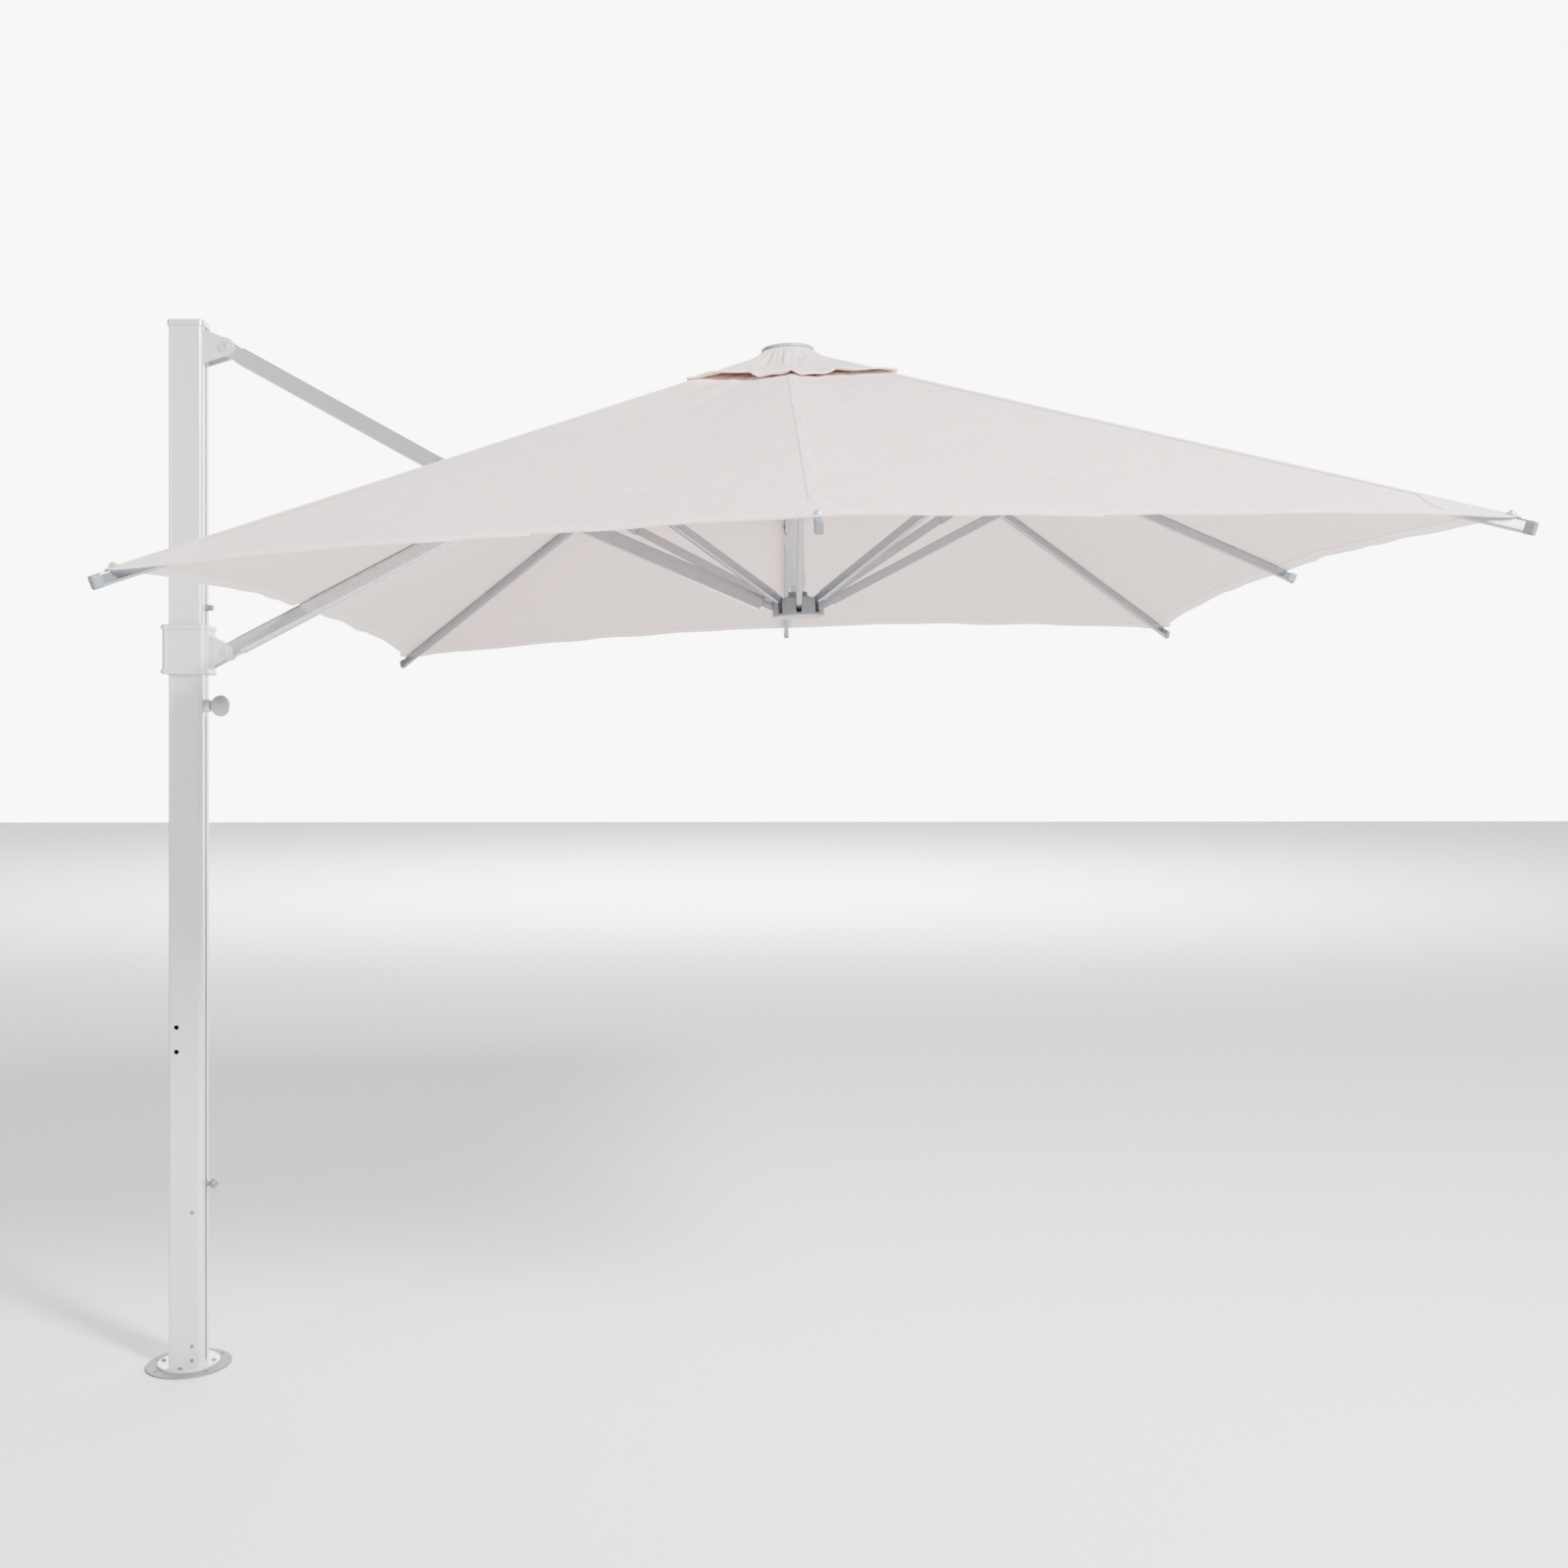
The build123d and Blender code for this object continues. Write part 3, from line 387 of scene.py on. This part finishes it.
DARK_STEEL_NODES = {"flange_bolts", "spigot_screws", "mast_pegs"}
STEEL_NODES = {"top_pivot_bolt", "elbow_bolt", "strut_pin", "carriage_bolt", "crown_pins",
               "hub_pins", "mast_spigot"}
ARM_NODES = {"upper_arm_tube", "upper_arm_ends", "main_arm_tube", "main_arm_ends", "pole_outer",
             "pole_middle", "pole_inner"}
GREY_NODES = {"lock_knob", "crown_disc"}
HUB_NODES = {"crown_hub", "hub_body"}


def cad_material(name):
    if name == "base_plate":
        return CAST
    if name in DARK_STEEL_NODES:
        return DARK_STEEL
    if name in STEEL_NODES:
        return STEEL
    if name in GREY_NODES:
        return GREY_PLASTIC
    if name in HUB_NODES or name.startswith("rib_fittings"):
        return HUB_PLASTIC
    if name == "carriage_liners":
        return BLACK_PLASTIC
    # the main strut and the ribs get the darker copies of the silver: painted shade
    if name == "main_strut":
        return SHADED_SILVER_STRUT
    if name in ARM_NODES:
        return SILVER_ARM
    if name.startswith(("rib_", "strut_")):
        return SHADED_SILVER_RIB
    return SILVER


def dress_cad():
    for name, node in nodes.items():
        node.data.materials.clear()
        node.data.materials.append(cad_material(name))


def accent(node_name, material, chosen):
    """Gives the faces of a CAD node that pass the test a second material."""
    mesh = nodes[node_name].data
    mesh.materials.append(material)
    slot = len(mesh.materials) - 1
    for face in mesh.polygons:
        if chosen(face.center):
            face.material_index = slot


GROOVE_FLOOR, GROOVE_MOUTH, GROOVE_HALF = 0.0395, 0.0499, 0.0064
GROOVE_FOOT, GROOVE_HEAD = 0.1, 3.0
RIB_PIN_NEAR, RIB_PIN_FAR = 0.60, 1.05


def in_groove(point):
    """The slot up the mast's +X face, towards the canopy; its faces get near-black painted shade.
    """
    return (GROOVE_FLOOR < point.x < GROOVE_MOUTH and abs(point.y) < GROOVE_HALF
            and GROOVE_FOOT < point.z < GROOVE_HEAD)


def near_rib_pin(point):
    """The strut's pin part way along a rib, with a corner's bracket, but no plug or end cap."""
    flat = CANOPY.inverted() @ point
    return RIB_PIN_NEAR < math.hypot(flat.x, flat.y) < RIB_PIN_FAR


def colour_details():
    # the mast's slot is coloured near black: painted shade
    accent("mast_tube", GROOVE_PAINTED_SHADE, in_groove)
    for name in RIBS:
        if name != "inner":
            accent("rib_fittings_" + name, BLACK_PLASTIC, near_rib_pin)


# radius and height of each ring, from the top of the head down
STUD_PROFILE = ((0.0, 0.0088), (0.0030, 0.0086), (0.0060, 0.0074), (0.0078, 0.0048),
                (0.0082, 0.0022), (0.0118, 0.0018), (0.0126, 0.0008), (0.0126, -0.0010))
STUD_INSET = 0.034
STUD_LIFT = 0.0012
STUD_STEPS = 28


def diagonal(name):
    """A corner's rib is longer than a side's by the square's diagonal."""
    return math.sqrt(2) if RIBS[name] % 90 else 1.0


def build_stud(name):
    """The cap screw that holds the cover's corner to the rib's end."""
    azimuth = math.radians(RIBS[name])
    reach = (HALF_SIDE - STUD_INSET) * diagonal(name)
    along = Vector((math.cos(azimuth), math.sin(azimuth)))
    slope = CORNER_SLOPE if RIBS[name] % 90 else MID_SLOPE
    x, y = along * reach
    foot = to_world(x, y, cover_height(x, y) + STUD_LIFT)
    up = CANOPY.to_3x3() @ Vector((along.x * slope, along.y * slope, 1)).normalized()
    side = up.orthogonal().normalized()
    other = up.cross(side)
    turns = [2 * math.pi * i / STUD_STEPS for i in range(STUD_STEPS)]
    spokes = [side * math.cos(turn) + other * math.sin(turn) for turn in turns]
    bm = bmesh.new()
    rings = []
    for radius, height in STUD_PROFILE:
        if radius == 0:
            rings.append([bm.verts.new(foot + up * height)])
        else:
            rings.append([bm.verts.new(foot + up * height + spoke * radius) for spoke in spokes])
    for i in range(STUD_STEPS):
        after = (i + 1) % STUD_STEPS
        bm.faces.new((rings[0][0], rings[1][i], rings[1][after]))
        for low, high in zip(rings[2:], rings[1:]):
            bm.faces.new((high[i], low[i], low[after], high[after]))
    bm.faces.new(rings[-1])
    stud = new_object("stud_" + name, bm, STEEL)
    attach(stud, body_of_rib(name))


# ------------------------------------------------------------------ the cover

ACROSS = 14
ALONG = 54
WEAVE_SCALE = 0.96
WEAVE_TURN = 0.02
HEM_DEPTH = 0.030
HEM_LIFT = 0.0012
HEM_THICKNESS = 0.0040
HEM_STEPS = 2


def body_of_rib(name):
    return "main_arm" if name == "inner" else "rib_" + name


def pinch(piece, name):
    """Fixes the cloth to its rib's body, so that it moves with that rib as the parasol folds."""
    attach(piece, body_of_rib(name))
    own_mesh(piece)


def cover_rows(name, along, start, lift=0.0):
    """Rows of points from the reach that start gives out to the hem, with their UVs."""
    row_keys = stations(RIBS[name], ACROSS)
    rows = []
    uvs = []
    for i in range(along + 1):
        part = i / along
        row = []
        uv_row = []
        for side, share in row_keys:
            last = hem_reach(abs(share))
            reach = start(last) + (last - start(last)) * part
            point = plan_point(side, share, reach)
            row.append(to_world(point.x, point.y, cover_height(point.x, point.y) + lift))
            uv_row.append((point.x * WEAVE_SCALE + point.y * WEAVE_TURN,
                           point.y * WEAVE_SCALE - point.x * WEAVE_TURN))
        rows.append(row)
        uvs.append(uv_row)
    return rows, uvs


SLIT_START = 0.73
SLIT_END = 1.0
SLIT_HALF = 0.036


def over_slit(rows):
    """True for the quads of the inner piece that the upper arm passes through."""
    inverse = CANOPY.inverted()

    def inside(i, j):
        centre = (rows[i][j] + rows[i + 1][j + 1]) / 2
        local = inverse @ centre
        return SLIT_START < -local.x < SLIT_END and abs(local.y) < SLIT_HALF

    return inside


def build_cover(name):
    rows, uvs = cover_rows(name, ALONG, lambda last: VENT_HALF)
    skip = over_slit(rows) if name == "inner" else None
    cover = grid_mesh("cover_" + name, rows, CANVAS, uvs, skip)
    thicken(cover, CLOTH)
    hem_rows, hem_uvs = cover_rows(name, HEM_STEPS, lambda last: last - HEM_DEPTH, HEM_LIFT)
    hem = grid_mesh("hem_" + name, hem_rows, CANVAS_HEM, hem_uvs)
    thicken(hem, HEM_THICKNESS)
    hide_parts("canopy_" + name)
    pinch(cover, name)
    pinch(hem, name)


# ------------------------------------------------------------------ the vent flap

FLAP_HALF = 0.297
FLAP_NECK = 0.0845
FLAP_TOP = 0.044
FLAP_EDGE = -0.076
FLAP_HOLLOW = 1.8
FLAP_FOLDS = 11
FLAP_FINE_FOLDS = 23
FLAP_FOLD_HEIGHT = 0.0085
FLAP_FINE_HEIGHT = 0.0075
FLAP_UNEVEN = 0.005
FLAP_CLEARANCE = 0.0045
FLAP_BOW = 0.006
FLAP_WEAVE_SCALE = 0.97
FLAP_ACROSS = 10
FLAP_ALONG = 22
FLAP_HEM_START = 0.91
FLAP_HEM_OVERHANG = 0.0008
FLAP_HEM_THICKNESS = 0.0042


def flap_height(x, y, part):
    """The flap falls from the gathered neck to a wavy free edge, with folds that fan out."""
    angle = math.atan2(y, x)
    turned = Vector((math.cos(angle) * 3.1, math.sin(angle) * 3.1, part * 1.1))
    drift = noise.noise(turned) * 2.4
    fold = math.sin(FLAP_FOLDS * angle + drift * 2.2)
    fine = math.sin(FLAP_FINE_FOLDS * angle + drift * 5.0)
    height = FLAP_EDGE + (FLAP_TOP - FLAP_EDGE) * (1 - part) ** FLAP_HOLLOW
    height += (FLAP_FOLD_HEIGHT * fold * part ** 1.2
               + FLAP_FINE_HEIGHT * fine * (1 - part) * min(1, part * 5))
    height += FLAP_UNEVEN * noise.noise(Vector((x * 9, y * 9, 2.0))) * part
    return max(height, cover_height(x, y) + FLAP_CLEARANCE)


def flap_rows(name, start_part, overhang, lift):
    """Rows of points from a share of the way out to the flap's edge, with their UVs."""
    row_keys = stations(RIBS[name], FLAP_ACROSS)
    rows = []
    uvs = []
    for i in range(FLAP_ALONG + 1):
        part = start_part + (1 - start_part) * i / FLAP_ALONG
        row = []
        uv_row = []
        for side, share in row_keys:
            first = FLAP_NECK / math.sqrt(1 + share * share)
            last = FLAP_HALF - FLAP_BOW * (1 - share * share) + overhang
            reach = first + (last - first) * part
            point = plan_point(side, share, reach)
            row.append(to_world(point.x, point.y, flap_height(point.x, point.y, part) + lift))
            uv_row.append((point.x * FLAP_WEAVE_SCALE, point.y * FLAP_WEAVE_SCALE))
        rows.append(row)
        uvs.append(uv_row)
    return rows, uvs


def build_flap(name):
    rows, uvs = flap_rows(name, 0.0, 0.0, 0.0)
    flap = grid_mesh("flap_" + name, rows, CANVAS, uvs)
    thicken(flap, CLOTH)
    hem_rows, hem_uvs = flap_rows(name, FLAP_HEM_START, FLAP_HEM_OVERHANG, HEM_LIFT)
    hem = grid_mesh("flap_hem_" + name, hem_rows, CANVAS_HEM, hem_uvs)
    thicken(hem, FLAP_HEM_THICKNESS)
    pinch(flap, name)
    pinch(hem, name)


# radius and height of each row, from under the disc down
NECK_PROFILE = ((0.070, 0.0485), (0.0785, 0.0480), (0.0812, 0.0440), (0.0815, 0.035),
                (0.0820, 0.027), (0.0825, 0.0140), (0.0830, 0.004), (0.0835, -0.006))
NECK_STEPS = 240
NECK_PLEATS = 26
NECK_PLEAT_DEPTH = 0.0022
NECK_CLOTH = 0.0016
NECK_WEAVE_RADIUS = 0.087


def build_neck():
    """The cloth sleeve gathered under the top disc."""
    rows = []
    uvs = []
    for k, (radius, height) in enumerate(NECK_PROFILE):
        row = []
        uv_row = []
        pleat = min(1, k / 2) * NECK_PLEAT_DEPTH
        for i in range(NECK_STEPS + 1):
            angle = 2 * math.pi * i / NECK_STEPS
            ripple = math.sin(NECK_PLEATS * angle + 2.1 * math.sin(3 * angle))
            here = radius + pleat * ripple
            row.append(to_world(here * math.cos(angle), here * math.sin(angle), height))
            uv_row.append((angle * NECK_WEAVE_RADIUS, height))
        rows.append(row)
        uvs.append(uv_row)
    neck = grid_mesh("flap_neck", rows, CANVAS, uvs)
    bm = bmesh.new()
    bm.from_mesh(neck.data)
    bmesh.ops.remove_doubles(bm, verts=bm.verts, dist=1e-5)
    bm.to_mesh(neck.data)
    bm.free()
    for face in neck.data.polygons:
        face.use_smooth = True
    thicken(neck, NECK_CLOTH)
    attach(neck, "crown")
    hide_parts("vent_flap")


# ------------------------------------------------------------------ seams and patches

SEAM_START = 0.20
SEAM_HALF = 0.014
SEAM_LIFT = 0.0010
SEAM_CLOTH = 0.0004
SEAM_STEPS = 60
PATCH_HALF = 0.060
CORNER_PATCH_HALF = 0.075
PATCH_TIP = 0.006
PATCH_LENGTH = 0.13
CORNER_PATCH_LENGTH = 0.15
PATCH_LIFT = 0.0008
PATCH_CLOTH = 0.0006
PATCH_STEPS = 14


def strip_rows(name, reaches, half_widths, lift, across):
    """A strip sewn over a rib: it follows the cover and narrows or widens along its length."""
    azimuth = math.radians(RIBS[name])
    along = Vector((math.cos(azimuth), math.sin(azimuth)))
    lateral = Vector((-along.y, along.x))
    stretch = diagonal(name)
    rows = []
    uvs = []
    for reach, half in zip(reaches, half_widths):
        row = []
        uv_row = []
        for j in range(across + 1):
            offset = half * (2 * j / across - 1)
            point = along * (reach * stretch) + lateral * offset
            row.append(to_world(point.x, point.y, cover_height(point.x, point.y) + lift))
            uv_row.append((reach * stretch, offset))
        rows.append(row)
        uvs.append(uv_row)
    return rows, uvs


def build_seam(name):
    last = HALF_SIDE - HEM_INSET - 0.004
    reaches = [SEAM_START + (last - SEAM_START) * i / SEAM_STEPS for i in range(SEAM_STEPS + 1)]
    if name == "inner":
        reaches = [r for r in reaches if r < SLIT_START - 0.02]
    rows, uvs = strip_rows(name, reaches, [SEAM_HALF] * len(reaches), SEAM_LIFT, 4)
    seam = grid_mesh("seam_" + name, rows, SEAM, uvs)
    thicken(seam, SEAM_CLOTH, 1.0)
    pinch(seam, name)


def build_patch(name):
    """Doubled cloth where the rib's end cap pulls on the cover: a leaf at a corner, and a
    triangle at the middle of a side."""
    last = HALF_SIDE - HEM_INSET - 0.002
    parts = range(PATCH_STEPS + 1)
    if RIBS[name] % 90:
        length = CORNER_PATCH_LENGTH
        halves = [PATCH_TIP + CORNER_PATCH_HALF * math.sin(math.pi * i / PATCH_STEPS) ** 0.8
                  for i in parts]
    else:
        length = PATCH_LENGTH
        halves = [PATCH_TIP + PATCH_HALF * i / PATCH_STEPS for i in parts]
    reaches = [last - length + length * i / PATCH_STEPS for i in parts]
    rows, uvs = strip_rows(name, reaches, halves, PATCH_LIFT, 10)
    patch = grid_mesh("patch_" + name, rows, CANVAS_HEM, uvs)
    thicken(patch, PATCH_CLOTH, 1.0)
    pinch(patch, name)


# ------------------------------------------------------------------ stage, light and camera

FLOOR_SIZE = 40
FLOOR_GAP = 0.0005


def build_stage():
    bm = bmesh.new()
    bmesh.ops.create_grid(bm, x_segments=1, y_segments=1, size=FLOOR_SIZE)
    floor_material = bpy.data.materials.new("pale_floor")
    tree, shader = nodes_of(floor_material)
    shader.inputs["Base Color"].default_value = (0.86, 0.86, 0.86, 1)
    shader.inputs["Roughness"].default_value = 0.9
    floor = new_object("floor", bm, floor_material, False)
    floor.location = (0, 0, cad_box[0][2] - FLOOR_GAP)


def area_light(name, location, target, size, power, colour):
    data = bpy.data.lights.new(name, "AREA")
    data.size = size
    data.energy = power
    data.color = colour
    lamp = bpy.data.objects.new(name, data)
    lamp.location = location
    aim = Vector(target) - Vector(location)
    lamp.rotation_euler = aim.to_track_quat("-Z", "Y").to_euler()
    bpy.context.scene.collection.objects.link(lamp)


# the surroundings: dim in front, bright behind, and dimmer overhead
WORLD_FRONT = 0.42
WORLD_BACK = 9.0
WORLD_ROOF = -0.37

# name, place, what it points at, size, power and colour
LIGHTS = (
    ("key", (7.0, -6.0, 6.5), (1.2, 0, 2.2), 1.6, 3100, (0.94, 0.98, 1.0)),
    ("wash", (1.5, 17.0, 9.0), (1.5, 24.0, 0), 12.0, 9000, (1, 1, 1)),
    ("strip", (-4.5, -5.5, 3.5), (0.4, 0, 1.6), 1.2, 300, (1.0, 0.90, 0.86)),
)


def world_fade(tree, height, start, end, low, high):
    """A soft step from low to high as one component of the direction goes from start to end."""
    fade = add_node(tree, "ShaderNodeMapRange", interpolation_type="SMOOTHSTEP")
    for key, value in (("From Min", start), ("From Max", end), ("To Min", low), ("To Max", high)):
        fade.inputs[key].default_value = value
    tree.links.new(height, fade.inputs["Value"])
    return fade.outputs["Result"]


def build_light():
    world = bpy.data.worlds.new("studio")
    bpy.context.scene.world = world
    world.use_nodes = True
    background = world.node_tree.nodes["Background"]
    background.inputs["Color"].default_value = (1, 1, 1, 1)
    tree = world.node_tree
    coords = tree.nodes.new("ShaderNodeTexCoord")
    parts = tree.nodes.new("ShaderNodeSeparateXYZ")
    tree.links.new(coords.outputs["Generated"], parts.inputs["Vector"])
    back = world_fade(tree, parts.outputs["Y"], 0.45, 0.88, WORLD_FRONT, WORLD_BACK)
    roof = world_fade(tree, parts.outputs["Z"], 0.15, 0.55, 0.0, WORLD_ROOF)
    total = add_node(tree, "ShaderNodeMath", operation="ADD")
    tree.links.new(back, total.inputs[0])
    tree.links.new(roof, total.inputs[1])
    tree.links.new(total.outputs[0], background.inputs["Strength"])
    for light in LIGHTS:
        area_light(*light)


CAMERA_PLACE = (1.6622, -4.8763, 1.8046)
CAMERA_TURN = -1.2303
CAMERA_LENS = 37.43
CAMERA_SHIFT = -0.01778


def build_camera():
    data = bpy.data.cameras.new("camera")
    data.lens = CAMERA_LENS
    data.sensor_width = 36
    data.shift_y = CAMERA_SHIFT
    camera = bpy.data.objects.new("camera", data)
    camera.location = CAMERA_PLACE
    camera.rotation_euler = (math.radians(90), 0, math.radians(CAMERA_TURN))
    bpy.context.scene.collection.objects.link(camera)
    bpy.context.scene.camera = camera


dress_cad()
colour_details()
for rib_name in RIBS:
    build_cover(rib_name)
    build_seam(rib_name)
    build_patch(rib_name)
    build_flap(rib_name)
    if rib_name != "inner":
        build_stud(rib_name)
build_neck()
build_stage()
build_light()
build_camera()
